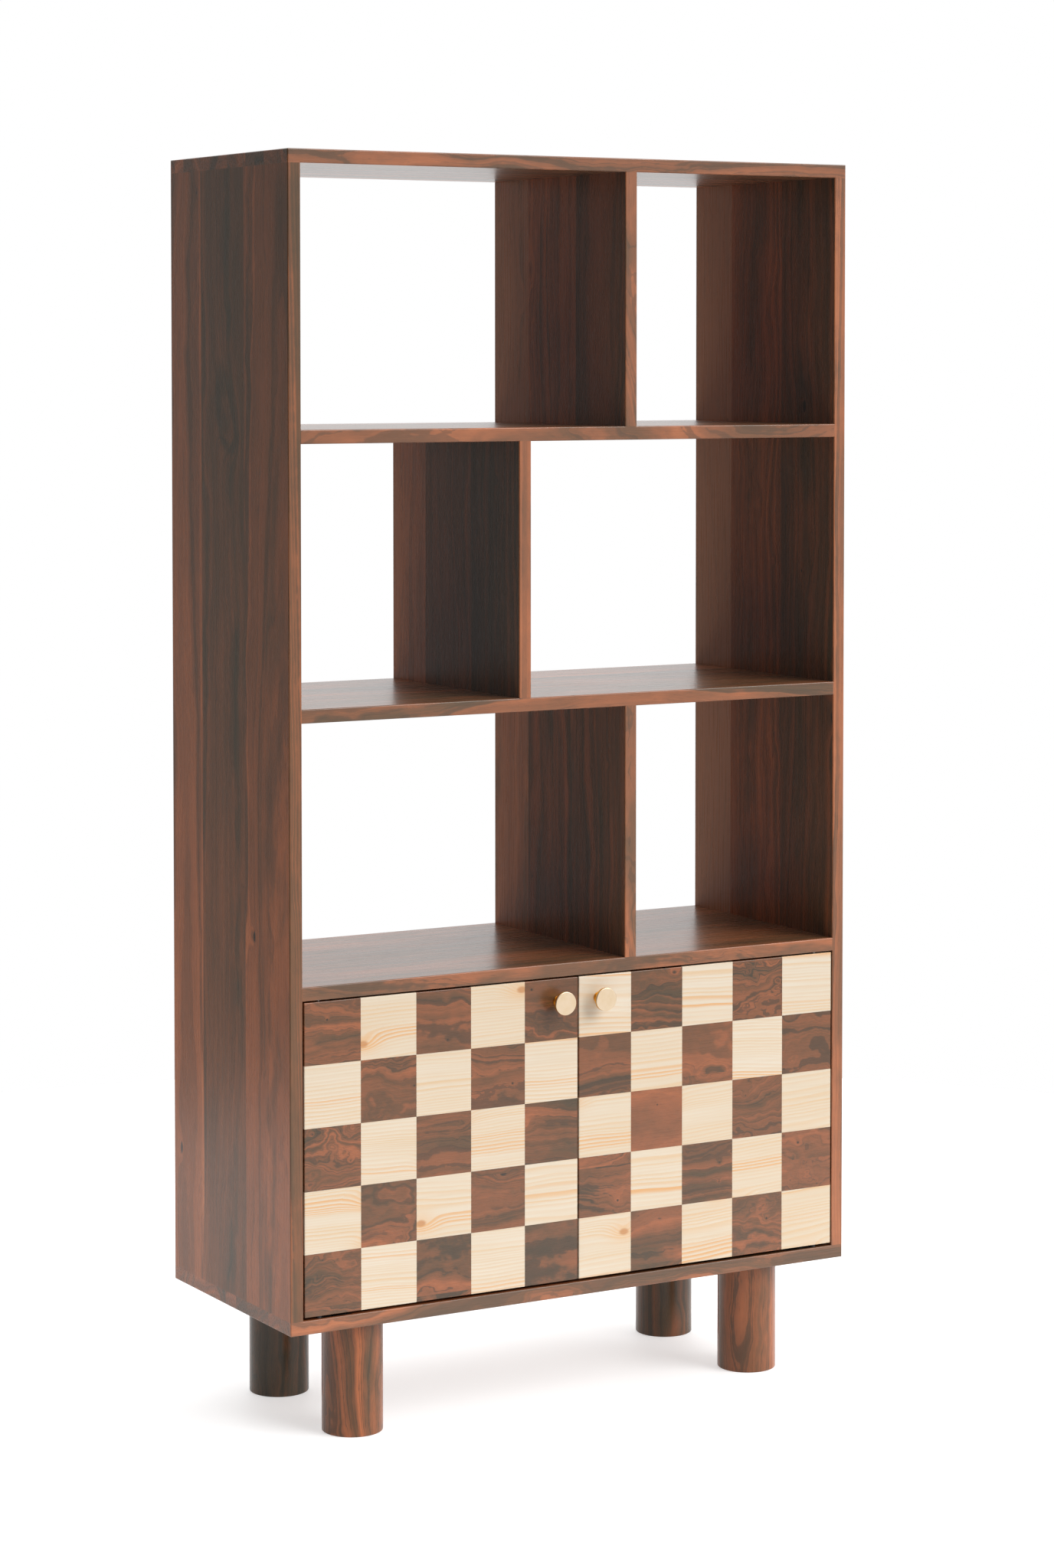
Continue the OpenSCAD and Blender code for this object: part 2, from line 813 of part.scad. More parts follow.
module door_hinge_leaves(side) {
    color(steel) on_side(side) at_door_leaves() hinge_leaf(pin_running_fit);
}

module door_hinge_screws(side) {
    color(steel) on_side(side) at_door_leaves() at_leaf_screws() flat_screw(short_screw_l);
}

// The strike plate's middle on the back of the door, with z pointing out of the plate
module at_strike_plate() {
    translate([door_w + door_side_gap / 2 - catch_from_middle, door_t + strike_t,
        door_h + door_top_gap - magnet_drop]) rotate([-90, 0, 0]) children();
}

module door_strike_plate(side) {
    color(steel) at_door(side) at_strike_plate() difference() {
        translate([-strike_w / 2, -strike_h / 2, -strike_t]) cube([strike_w, strike_h, strike_t]);
        flat_screw_hole(short_screw_l);
    }
}

module door_strike_screw(side) {
    color(steel) at_door(side) at_strike_plate() flat_screw(short_screw_l);
}

module left_door_core() {
    door_core("left");
}

module left_door_dark_tiles() {
    door_tiles("left", 0, dark_wood);
}

module left_door_light_tiles() {
    door_tiles("left", 1, light_wood);
}

module left_door_knob() {
    door_knob("left");
}

module left_door_knob_screw() {
    door_knob_screw("left");
}

module left_door_hinge_leaves() {
    door_hinge_leaves("left");
}

module left_door_hinge_screws() {
    door_hinge_screws("left");
}

module left_door_strike_plate() {
    door_strike_plate("left");
}

module left_door_strike_screw() {
    door_strike_screw("left");
}

module right_door_core() {
    door_core("right");
}

module right_door_dark_tiles() {
    door_tiles("right", 1, dark_wood);
}

module right_door_light_tiles() {
    door_tiles("right", 0, light_wood);
}

module right_door_knob() {
    door_knob("right");
}

module right_door_knob_screw() {
    door_knob_screw("right");
}

module right_door_hinge_leaves() {
    door_hinge_leaves("right");
}

module right_door_hinge_screws() {
    door_hinge_screws("right");
}

module right_door_strike_plate() {
    door_strike_plate("right");
}

module right_door_strike_screw() {
    door_strike_screw("right");
}

top_board();
bottom_board();
left_side_panel();
right_side_panel();
upper_shelf();
middle_shelf();
cabinet_top_shelf();
upper_divider();
middle_divider();
lower_divider();
side_panel_dowels();
shelf_dowels();
divider_dowels();
cabinet_back_panel();
back_panel_screws();
leg_front_left();
leg_front_right();
leg_rear_left();
leg_rear_right();
leg_threaded_inserts();
leg_threaded_rods();
left_carcass_hinge_leaves();
right_carcass_hinge_leaves();
carcass_hinge_screws();
hinge_pins();
hinge_bearing_washers();
catch_housings();
catch_magnets();
catch_screws();
left_door_core();
left_door_dark_tiles();
left_door_light_tiles();
left_door_knob();
left_door_knob_screw();
left_door_hinge_leaves();
left_door_hinge_screws();
left_door_strike_plate();
left_door_strike_screw();
right_door_core();
right_door_dark_tiles();
right_door_light_tiles();
right_door_knob();
right_door_knob_screw();
right_door_hinge_leaves();
right_door_hinge_screws();
right_door_strike_plate();
right_door_strike_screw();
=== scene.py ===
"""Looks of the cube storage unit: dark streaky boards, chequered doors and brass knobs.

Metres, +Z up, the doors face -Y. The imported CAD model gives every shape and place.
"""
import math

import bpy
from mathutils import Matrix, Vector


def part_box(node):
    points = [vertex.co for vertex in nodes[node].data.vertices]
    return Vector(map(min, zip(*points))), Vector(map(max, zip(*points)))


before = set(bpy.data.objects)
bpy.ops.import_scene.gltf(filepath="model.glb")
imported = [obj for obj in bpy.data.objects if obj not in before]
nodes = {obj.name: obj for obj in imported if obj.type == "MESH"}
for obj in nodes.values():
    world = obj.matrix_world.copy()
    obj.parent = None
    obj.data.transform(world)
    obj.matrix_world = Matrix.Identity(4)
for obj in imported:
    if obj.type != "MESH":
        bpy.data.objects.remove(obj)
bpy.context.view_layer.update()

# ---- places worked out from the imported parts ----

LEFT_LOW, LEFT_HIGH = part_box("left_door_core")
RIGHT_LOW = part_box("right_door_core")[0]
TILES_PER_SIDE = 5
TILE_W = (LEFT_HIGH.x - LEFT_LOW.x) / TILES_PER_SIDE
TILE_H = (LEFT_HIGH.z - LEFT_LOW.z) / TILES_PER_SIDE
PANEL_LOW, PANEL_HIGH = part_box("left_side_panel")
FRONT_Y = PANEL_LOW.y
BACK_Y = PANEL_HIGH.y

# each board is glued up from three staves, with a thin strip, the lipping, on its front edge
STAVE_W = 0.128
REAR_STAVE_W = 0.095
GLUE_LINE_Y = BACK_Y - REAR_STAVE_W
LIPPING_T = 0.0018

# a stave wider than any piece, set so that no glue line falls on one
ONE_STAVE = {"Stave": 4.0, "Shift": -2.0}

# the heights between which the painted floor light, which makes a board lighter low down, grows from
# nothing to its whole
PAINTED_GLOW_TOP_Z = 1.30
PAINTED_GLOW_LOW_Z = 0.45

# how strong the figure of a board is, and what its lipping adds to that and to its seed
BOARD_CONTRAST = 0.34
BOARD_FINE = 0.28
BOARD_KNOTS = 0.10
LIPPING_CONTRAST = 0.20
LIPPING_FINE = 0.30
LIPPING_SEED = 40.0

# how deep a knob's pale face goes, and how thick a pair of plywood layers is
KNOB_FACE_T = 0.0012
PLY_LAYER_T = 0.0028


# ---- a short way to write shader nodes ----

class Graph:
    """Adds nodes to one tree. A value may be a number, a tuple or another node's output."""

    def __init__(self, tree):
        self.tree = tree

    def put(self, socket, value):
        if isinstance(value, bpy.types.NodeSocket):
            self.tree.links.new(value, socket)
        else:
            socket.default_value = value

    def node(self, kind, inputs=(), **settings):
        made = self.tree.nodes.new(kind)
        for name, value in settings.items():
            setattr(made, name, value)
        for name, value in dict(inputs).items():
            self.put(made.inputs[name], value)
        return made

    def math(self, operation, a, b=0.0, c=0.0, clamp=False):
        made = self.node("ShaderNodeMath", {0: a, 1: b, 2: c}, operation=operation, use_clamp=clamp)
        return made.outputs[0]

    def add(self, a, b):
        return self.math("ADD", a, b)

    def sub(self, a, b):
        return self.math("SUBTRACT", a, b)

    def mul(self, a, b):
        return self.math("MULTIPLY", a, b)

    def mad(self, a, b, c):
        return self.math("MULTIPLY_ADD", a, b, c)

    def xyz(self, x, y, z):
        return self.node("ShaderNodeCombineXYZ", {0: x, 1: y, 2: z}).outputs[0]

    def split(self, vector):
        return self.node("ShaderNodeSeparateXYZ", {0: vector}).outputs

    def noise(self, vector, scale=1.0, detail=2.0, roughness=0.5):
        made = self.node(
            "ShaderNodeTexNoise",
            {"Vector": vector, "Scale": scale, "Detail": detail, "Roughness": roughness},
        )
        return made.outputs[0]

    def line_noise(self, place, scale=1.0, detail=2.0, roughness=0.5):
        made = self.node(
            "ShaderNodeTexNoise",
            {"W": place, "Scale": scale, "Detail": detail, "Roughness": roughness},
            noise_dimensions="1D",
        )
        return made.outputs[0]

    def white(self, x, y=0.0, z=0.0):
        """Three random numbers that stay the same for the same place."""
        made = self.node("ShaderNodeTexWhiteNoise", {"Vector": self.xyz(x, y, z)}, noise_dimensions="3D")
        return self.split(made.outputs["Color"])

    def fit(self, value, low, high, to_low=0.0, to_high=1.0, smooth=False):
        kind = "SMOOTHSTEP" if smooth else "LINEAR"
        made = self.node(
            "ShaderNodeMapRange",
            {"Value": value, "From Min": low, "From Max": high, "To Min": to_low, "To Max": to_high},
            interpolation_type=kind,
        )
        return made.outputs[0]

    def ramp(self, value, stops):
        """A colour ramp. The first two stops are its ends."""
        made = self.node("ShaderNodeValToRGB", {0: value})
        points = made.color_ramp.elements
        for i, (place, colour) in enumerate(stops):
            point = points[i] if i < 2 else points.new(place)
            point.position = place
            point.color = colour
        return made.outputs[0]

    def blend(self, share, a, b):
        made = self.node("ShaderNodeMix", {0: share}, data_type="RGBA")
        self.put(made.inputs[6], a)
        self.put(made.inputs[7], b)
        return made.outputs[2]


def srgb(r, g, b):
    """An on-screen colour, 0 to 255, as the opaque linear colour that shaders use."""
    def one(c):
        c /= 255
        return c / 12.92 if c <= 0.04045 else ((c + 0.055) / 1.055) ** 2.4
    return (one(r), one(g), one(b), 1)


def new_group(name, inputs, outputs):
    """A node group with float and vector inputs, and its Graph, input and output nodes."""
    tree = bpy.data.node_groups.new(name, "ShaderNodeTree")
    for label, kind in inputs:
        tree.interface.new_socket(label, in_out="INPUT", socket_type=kind)
    for label, kind in outputs:
        tree.interface.new_socket(label, in_out="OUTPUT", socket_type=kind)
    g = Graph(tree)
    return tree, g, g.node("NodeGroupInput").outputs, g.node("NodeGroupOutput")


# ---- wood, worked out through the solid so that faces and end grain agree ----

def knots(g, along, across, cells, chance, size, dimensions="3D"):
    """How much a place is pushed aside by a knot, and how much it is in the knot's core.

    There is one place for a knot in each cell, cells is how many of them fit in a metre along
    and across, and chance is how many hold a knot. size is a knot's reach in cells. In 3D most
    knots are cut off centre and faint. In 2D each is cut through its middle.
    """
    place = g.xyz(g.mul(along, cells[0]), g.mul(across, cells[1]), 0.0)
    found = g.node(
        "ShaderNodeTexVoronoi",
        {"Vector": place, "Scale": 1.0, "Randomness": 0.4},
        voronoi_dimensions=dimensions,
    )
    chosen = g.math("LESS_THAN", g.split(found.outputs["Color"])[0], chance)
    distance = g.math("DIVIDE", found.outputs["Distance"], size)
    swell = g.math("EXPONENT", g.mul(g.mul(distance, distance), -1.0))
    core = g.fit(distance, 0.42, 0.18, smooth=True)
    return g.mul(swell, chosen), g.mul(core, chosen)


def dark_wood_group():
    """Dark reddish-brown wood with near-black veins and grey-green streaks, in glued staves.

    Vector is the place along the grain, across it and through the board. Seed picks the piece of
    wood, Stave is the width of a stave, Shift is where one glue line lies, Knots is the share of
    places with a small knot, Lift makes the wood lighter, Contrast scales all changes of tone,
    Wave is how far the grain wanders, Swirl is how near a place is to a large knot, 0 to 1,
    Olive adds to the olive-brown heartwood, and Fine scales the thin lines and veins.
    """
    tree, g, put_in, out = new_group(
        "dark_wood",
        [("Vector", "NodeSocketVector"), ("Seed", "NodeSocketFloat"), ("Stave", "NodeSocketFloat"),
         ("Shift", "NodeSocketFloat"), ("Knots", "NodeSocketFloat"), ("Lift", "NodeSocketFloat"),
         ("Contrast", "NodeSocketFloat"), ("Wave", "NodeSocketFloat"),
         ("Swirl", "NodeSocketFloat"), ("Olive", "NodeSocketFloat"), ("Fine", "NodeSocketFloat")],
        [("Color", "NodeSocketColor"), ("Height", "NodeSocketFloat"), ("Roughness", "NodeSocketFloat")],
    )
    along, across, through = g.split(put_in["Vector"])
    seed, stave_w, wave, swirl = put_in["Seed"], put_in["Stave"], put_in["Wave"], put_in["Swirl"]
    contrast = g.mad(swirl, 0.35, put_in["Contrast"])

    # which stave a place is in, and what that stave's own wood is like
    place = g.math("DIVIDE", g.sub(across, put_in["Shift"]), stave_w)
    stave = g.math("FLOOR", place)
    r1, r2, r3 = g.white(stave, 0.0, g.mul(seed, 1.37))
    in_stave = g.mul(g.sub(g.math("FRACT", place), 0.5), stave_w)

    # the wood's own coordinates, far from its neighbours'
    u = g.mad(r2, 13.0, along)
    v = g.mad(r1, 7.0, across)
    w = g.mad(r3, 5.0, through)

    # how far the grain is pushed aside: slow drift, local sway, small knots and the large knot
    drift = g.noise(g.xyz(g.mul(u, 1.6), g.mul(v, 7.0), g.mul(w, 7.0)), detail=2.0)
    sway = g.noise(g.xyz(g.mul(u, 10.0), g.mul(v, 22.0), g.mul(w, 22.0)), detail=3.0)
    swell, core = knots(g, u, v, (7.0, 16.0), put_in["Knots"], 0.17)
    eye_swell, eye = knots(g, u, v, (22.0, 34.0), g.mul(put_in["Knots"], g.mul(wave, 0.5)), 0.17)
    figure = g.noise(g.xyz(g.mul(u, 5.0), g.mul(v, 10.0), g.mul(w, 10.0)), detail=1.0)
    wave = g.mul(wave, g.fit(figure, 0.48, 0.66, 0.7, 2.4, smooth=True))
    push = g.add(g.mul(g.sub(drift, 0.5), 0.10), g.mul(g.mul(g.sub(sway, 0.5), wave), 0.022))
    push = g.mad(swell, 0.022, g.mad(eye_swell, 0.009, push))
    push = g.mad(swirl, 0.060, push)

    # distance from the heart of the tree that the stave was cut from
    heart_across = g.mad(g.sub(r1, 0.5), 0.16, push)
    heart_through = g.add(g.mad(r2, -0.07, -0.012), g.mul(g.mul(g.sub(r3, 0.5), 0.05), along))
    from_heart_a = g.add(in_stave, heart_across)
    from_heart_t = g.sub(through, heart_through)
    ring = g.math("SQRT", g.add(g.mul(from_heart_a, from_heart_a), g.mul(from_heart_t, from_heart_t)))
    ring = g.mad(r3, 4.0, ring)

    # tone: broad bands and thin lines that follow the rings, fibres, clouds and mottle
    bands = g.line_noise(ring, 75.0, 3.0, 0.60)
    lines = g.line_noise(ring, 380.0, 2.0, 0.6)
    fibre = g.noise(g.xyz(g.mul(u, 9.0), g.mul(v, 330.0), g.mul(w, 330.0)), detail=3.0)
    cloud = g.noise(g.xyz(g.mul(u, 6.0), g.mul(v, 19.0), g.mul(w, 19.0)), detail=4.0, roughness=0.6)
    mottle = g.noise(g.xyz(g.mul(u, 60.0), g.mul(v, 120.0), g.mul(w, 120.0)), detail=3.0, roughness=0.6)

    tone = g.mul(g.sub(bands, 0.5), 1.9)
    tone = g.mad(g.sub(lines, 0.5), g.mul(put_in["Fine"], 0.60), tone)
    tone = g.mad(g.sub(fibre, 0.5), 0.18, tone)
    tone = g.mad(g.sub(cloud, 0.5), 0.85, tone)
    tone = g.mad(g.sub(mottle, 0.5), 0.30, tone)
    tone = g.mad(g.sub(r2, 0.5), 0.22, tone)
    tone = g.mad(tone, contrast, g.add(put_in["Lift"], 0.5))
    tone = g.mad(core, -0.45, g.mad(eye, -0.35, tone))
    tone = g.mad(g.fit(g.math("ABSOLUTE", g.sub(swirl, 0.55)), 0.30, 0.05, smooth=True), -0.20, tone)
    colour = g.ramp(tone, [
        (0.0, srgb(40, 37, 28)),
        (1.0, srgb(192, 115, 72)),
        (0.24, srgb(70, 55, 38)),
        (0.44, srgb(104, 68, 43)),
        (0.60, srgb(134, 80, 50)),
        (0.78, srgb(164, 95, 58)),
    ])

    # olive-brown heartwood that follows the rings, and thin near-black veins
    heartwood = g.line_noise(g.add(ring, 3.0), 40.0, 3.0, 0.6)
    heartwood = g.mul(g.fit(heartwood, 0.48, 0.66, smooth=True), g.fit(cloud, 0.62, 0.40, smooth=True))
    heartwood = g.math("MULTIPLY_ADD", heartwood, 0.60, put_in["Olive"], clamp=True)
    colour = g.blend(heartwood, colour, srgb(70, 60, 42))
    vein_place = g.math("ABSOLUTE", g.sub(g.line_noise(g.add(ring, 5.0), 80.0, 2.0, 0.45), 0.5))
    width = g.fit(g.mad(g.sub(mottle, 0.5), 0.4, cloud), 0.62, 0.36, 0.0, 0.055)
    vein = g.math("SUBTRACT", 1.0, g.math("DIVIDE", vein_place, g.add(width, 0.001)), clamp=True)
    vein = g.mul(g.fit(vein, 0.0, 0.6, smooth=True), g.mul(put_in["Fine"], 0.80))
    colour = g.blend(vein, colour, srgb(50, 46, 35))
    colour = g.blend(g.mul(g.math("MAXIMUM", core, eye), 0.75), colour, srgb(44, 32, 25))

    # short dark pores along the grain
    pores = g.noise(g.xyz(g.mul(u, 60.0), g.mul(v, 1300.0), g.mul(w, 1300.0)), detail=1.0)
    pore = g.fit(pores, 0.64, 0.73, smooth=True)
    colour = g.blend(g.mul(pore, 0.36), colour, srgb(40, 29, 24))

    height = g.sub(g.mul(fibre, 0.5), g.mul(pore, 0.7))
    g.put(out.inputs["Color"], colour)
    g.put(out.inputs["Height"], height)
    g.put(out.inputs["Roughness"], g.add(g.mad(g.sub(fibre, 0.5), 0.10, 0.28), g.mul(pore, 0.10)))
    return tree


def light_wood_group():
    """Pale straight-grained softwood with warm late-wood lines and a few small knots.

    Random is three numbers from 0 to 1 that make one piece differ from the next.
    """
    tree, g, put_in, out = new_group(
        "light_wood",
        [("Vector", "NodeSocketVector"), ("Random", "NodeSocketVector"), ("Knots", "NodeSocketFloat")],
        [("Color", "NodeSocketColor"), ("Height", "NodeSocketFloat"), ("Roughness", "NodeSocketFloat")],
    )
    along, across, through = g.split(put_in["Vector"])
    r1, r2, r3 = g.split(put_in["Random"])
    u = g.mad(r2, 13.0, along)
    v = g.mad(r1, 7.0, across)
    drift = g.noise(g.xyz(g.mul(u, 4.0), g.mul(v, 9.0), g.mul(through, 9.0)), detail=2.0)
    ripple = g.noise(g.xyz(g.mul(u, 22.0), g.mul(v, 50.0), through), detail=2.0)
    swell, core = knots(g, u, v, (9.0, 15.0), put_in["Knots"], 0.21, "2D")
    push = g.add(g.mul(g.sub(drift, 0.5), 0.018), g.mul(g.sub(ripple, 0.5), 0.0022))
    push = g.mad(swell, 0.014, push)

    # where a place is across the rings, which lean a little along the grain and inwards
    slope = g.mul(g.mul(g.sub(r3, 0.5), 0.12), along)
    ring_place = g.add(g.add(v, push), g.add(slope, g.mul(through, 0.6)))

    # growth rings, each darkening slowly to a sharp late-wood line
    spacing = g.mad(r1, 150.0, 120.0)
    spread = g.line_noise(ring_place, 30.0, 1.0)
    phase = g.math("FRACT", g.mad(ring_place, spacing, g.mul(spread, 3.2)))
    late = g.mul(g.fit(phase, 0.15, 0.90, smooth=True), g.fit(phase, 1.0, 0.92, smooth=True))
    strength = g.fit(g.line_noise(g.add(ring_place, 2.0), 40.0, 2.0), 0.34, 0.66, 0.25, 1.0)
    fibre = g.noise(g.xyz(g.mul(u, 9.0), g.mul(v, 420.0), g.mul(through, 420.0)), detail=3.0)
    cloud = g.noise(g.xyz(g.mul(u, 5.0), g.mul(v, 24.0), through), detail=3.0)

    # cream ground, with warmer rings, fibres, streaks and knots over it
    colour = g.ramp(g.mad(g.sub(cloud, 0.5), 1.1, g.mad(g.sub(r3, 0.5), 0.5, 0.5)), [
        (0.0, srgb(202, 185, 161)),
        (1.0, srgb(209, 198, 181)),
    ])
    colour = g.blend(g.mul(g.mul(late, strength), 0.62), colour, srgb(204, 166, 120))
    colour = g.blend(g.fit(fibre, 0.42, 0.75, 0.0, 0.28), colour, srgb(196, 168, 132))
    streak = g.fit(g.line_noise(g.add(ring_place, 4.0), 26.0, 2.0), 0.56, 0.68, smooth=True)
    colour = g.blend(g.mul(g.mul(late, streak), 0.75), colour, srgb(206, 150, 92))
    colour = g.blend(g.mul(swell, 0.45), colour, srgb(208, 156, 98))
    colour = g.blend(g.mul(core, 0.8), colour, srgb(178, 122, 72))
    g.put(out.inputs["Color"], colour)
    g.put(out.inputs["Height"], g.add(g.mul(fibre, 0.4), g.mul(late, 0.3)))
    g.put(out.inputs["Roughness"], g.mad(g.sub(fibre, 0.5), 0.10, 0.40))
    return tree


DARK_WOOD = dark_wood_group()
LIGHT_WOOD = light_wood_group()


def new_material(name):
    """A named material and its Graph, with the object's own coordinates to hand."""
    made = bpy.data.materials.new(name)
    made.use_nodes = True
    made.node_tree.nodes.clear()
    g = Graph(made.node_tree)
    place = g.node("ShaderNodeTexCoord").outputs["Object"]
    return made, g, place


def finish_surface(g, colour, roughness, height=None, bump=0.1, depth=0.0004, **constants):
    """Ends a material in one Principled shader. Constants go straight on its sockets."""
    shader = g.node("ShaderNodeBsdfPrincipled", {"Base Color": colour, "Roughness": roughness})
    for name, value in constants.items():
        shader.inputs[name.replace("_", " ")].default_value = value
    if height is not None:
        relief = g.node("ShaderNodeBump", {"Height": height, "Strength": bump, "Distance": depth})
        g.put(shader.inputs["Normal"], relief.outputs[0])
    g.put(g.node("ShaderNodeOutputMaterial").inputs["Surface"], shader.outputs[0])


def piece_axes(g, place, axes, node, centred):
    """Turns object coordinates into along the grain, across it and through the board.

    The axes named in centred are measured from the middle of the node.
    """
    low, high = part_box(node)
    parts = dict(zip("xyz", g.split(place)))
    for a in centred:
        parts[a] = g.sub(parts[a], (getattr(low, a) + getattr(high, a)) / 2)
    return g.xyz(*[parts[a] for a in axes])


def dark_wood_node(g, vector, seed, **values):
    """The dark wood, as in a board unless values say otherwise. Returns its outputs."""
    wood = g.node("ShaderNodeGroup", node_tree=DARK_WOOD)
    settings = {"Stave": STAVE_W, "Shift": 0.0, "Knots": BOARD_KNOTS, "Lift": 0.0,
                "Contrast": BOARD_CONTRAST, "Wave": 0.8, "Swirl": 0.0, "Olive": 0.0,
                "Fine": BOARD_FINE}
    settings.update(values)
    for label, value in settings.items():
        g.put(wood.inputs[label], value)
    g.put(wood.inputs["Vector"], vector)
    g.put(wood.inputs["Seed"], seed)
    return wood.outputs


def dark_board_material(node, axes, seed, painted_depth_light, stave=STAVE_W, blocks=0.0, painted_floor_glow=0.0,
                        knot=None, olive=0.0, seam=0.0, edge_lift=0.12, gloss=0.4,
                        inner_only=False):
    """Dark wood of one board, with a lighter strip on its front edge.

    lifts is how much lighter its front, middle and rear thirds are, and that is painted light:
    darker at the front and lighter towards the open back, where light comes in. stave is how wide
    its own staves are and blocks how much they differ in tone, painted_floor_glow how much lighter it is
    low down, painted light from the bright floor, knot the height and depth of a large knot, olive how
    olive its middle third is, seam how light its rear glue line, edge_lift how much lighter the
    strip, and gloss the shine. inner_only keeps the rear third's painted light to the left face.
    """
    made, g, place = new_material("dark_wood_" + node)
    x, y, z = g.split(place)

    # 1 in each part of the board, 0 outside it
    behind = g.sub(y, GLUE_LINE_Y)
    before_back_edge = g.math("LESS_THAN", y, BACK_Y - LIPPING_T)
    rear = g.mul(g.math("GREATER_THAN", behind, 0.0), before_back_edge)
    if inner_only:
        rear = g.mul(rear, g.math("LESS_THAN", x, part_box(node)[0].x + LIPPING_T))
    middle = g.sub(g.math("GREATER_THAN", behind, -STAVE_W), rear)
    lipping = g.math("LESS_THAN", y, FRONT_Y + LIPPING_T)
    board = g.sub(1.0, lipping)

    # how much lighter each part is: across the thirds this is painted light, darker at the front and
    # lighter towards the open back; the front strip's lift is its own paler tone
    front_painted_light, middle_painted_light, rear_painted_light = painted_depth_light
    lift = g.mad(middle, middle_painted_light - front_painted_light, g.mad(rear, rear_painted_light - front_painted_light, front_painted_light))
    lift = g.mad(lift, board, g.mul(lipping, edge_lift))
    own_tone = g.white(g.math("FLOOR", g.math("DIVIDE", behind, stave)), seed)[1]
    lift = g.mad(g.mul(g.sub(own_tone, 0.5), board), blocks, lift)
    # painted light: lighter low down, as if lit by the bright floor
    lift = g.mad(board, g.fit(z, PAINTED_GLOW_TOP_Z, PAINTED_GLOW_LOW_Z, 0.0, painted_floor_glow), lift)

    # a light line just behind the rear glue line, uneven along its length
    beside_seam = g.fit(g.math("ABSOLUTE", g.sub(behind, 0.004)), 0.004, 0.001, 0.0, seam)
    lift = g.mad(g.noise(place, 4.0, 2.0), beside_seam, lift)

    swirl = 0.0
    if knot:
        # the large knot reaches further up than down, and leans back as it rises
        height, depth = knot
        rise = g.sub(z, height)
        up = g.math("DIVIDE", rise, g.fit(rise, -0.02, 0.03, 0.036, 0.080))
        back = g.math("DIVIDE", g.sub(g.sub(y, depth), g.mul(rise, 0.28)), 0.030)
        swirl = g.math("EXPONENT", g.mul(g.add(g.mul(up, up), g.mul(back, back)), -1.0))
    wood = dark_wood_node(
        g, piece_axes(g, place, axes, node, axes[2]), g.mad(lipping, LIPPING_SEED, seed),
        Stave=stave, Shift=GLUE_LINE_Y, Lift=lift, Swirl=swirl, Olive=g.mul(middle, olive),
        Contrast=g.mad(lipping, LIPPING_CONTRAST, BOARD_CONTRAST),
        Fine=g.mad(lipping, LIPPING_FINE, BOARD_FINE), Knots=g.mul(board, BOARD_KNOTS))
    # pale grey-brown: the front strip's own tone, and over the rear third painted light from the bright
    # backdrop behind
    pale = g.math("MAXIMUM", g.mul(lipping, 0.17), g.mul(rear, max(0.0, rear_painted_light)))
    colour = g.blend(pale, wood["Color"], srgb(148, 118, 98))
    finish_surface(g, colour, wood["Roughness"], wood["Height"], Specular_IOR_Level=gloss)
    return made


def leg_material(node, seed, lift):
    """Dark wood of one turned leg, all from a single piece."""
    made, g, place = new_material("dark_wood_" + node)
    wood = dark_wood_node(
        g, piece_axes(g, place, "zxy", node, "xy"), seed, **ONE_STAVE,
        Lift=lift, Contrast=0.42, Wave=1.3, Knots=0.0, Fine=0.6)
    finish_surface(g, wood["Color"], wood["Roughness"], wood["Height"], Specular_IOR_Level=0.35)
    return made


def tile_places(g, place, low):
    """Column and row of the tile that a place is in, and the place with z across the grain."""
    x, y, z = g.split(place)
    column = g.math("FLOOR", g.math("DIVIDE", g.sub(x, low.x), TILE_W))
    row = g.math("FLOOR", g.math("DIVIDE", g.sub(z, low.z), TILE_H))
    return column, row, g.xyz(x, z, y)


def dark_tile_material(name, low, seed):
    """Dark squares, each from its own piece of wood, with the grain level.

    low is the lowest corner of their door's core. Their tone, contrast and figure differ.
    """
    made, g, place = new_material(name)
    column, row, grain = tile_places(g, place, low)
    along, across, through = g.split(grain)
    r1, r2, r3 = g.white(column, row, seed)
    own_along = g.mad(r1, 9.0, g.mul(along, 1.7))
    own_across = g.mad(r2, 5.0, across)
    wood = dark_wood_node(
        g, g.xyz(own_along, own_across, g.sub(through, low.y)), g.mad(r3, 5.0, seed),
        Stave=0.26, Knots=0.45, Lift=g.mad(r2, 0.06, -0.03), Contrast=g.mad(r1, 0.22, 0.24),
        Wave=g.mad(r2, 3.4, 1.2), Fine=g.mad(r3, 0.40, 0.40))
    finish_surface(g, wood["Color"], wood["Roughness"], wood["Height"])
    return made


def light_tile_material(name, low, seed):
    """Pale squares, each from its own piece of wood, with the grain level."""
    made, g, place = new_material(name)
    column, row, grain = tile_places(g, place, low)
    wood = g.node("ShaderNodeGroup", node_tree=LIGHT_WOOD)
    g.put(wood.inputs["Vector"], grain)
    g.put(wood.inputs["Random"], g.xyz(*g.white(column, row, seed)))
    g.put(wood.inputs["Knots"], 0.24)
    finish_surface(g, wood.outputs["Color"], wood.outputs["Roughness"], wood.outputs["Height"], bump=0.06)
    return made


def plywood_material(name, node, axes, seed):
    """Stained plywood: one wide stave on its faces, thin layers through its edges."""
    made, g, place = new_material(name)
    grain = piece_axes(g, place, axes, node, "xyz")
    wood = dark_wood_node(g, grain, seed, **ONE_STAVE, Knots=0.04)
    layer = g.math("SINE", g.mul(g.split(grain)[2], math.tau / PLY_LAYER_T))
    colour = g.blend(g.fit(layer, 0.2, 0.8, 0.0, 0.25), wood["Color"], srgb(70, 48, 36))
    finish_surface(g, colour, wood["Roughness"], wood["Height"])
    return made


def bare_dowel_material(name):
    """Bare pale hardwood with a fine fleck."""
    made, g, place = new_material(name)
    fleck = g.noise(place, 160.0, 4.0, 0.6)
    colour = g.ramp(fleck, [(0.3, srgb(196, 158, 112)), (0.7, srgb(228, 198, 152))])
    finish_surface(g, colour, g.fit(fleck, 0.0, 1.0, 0.55, 0.75), fleck)
    return made


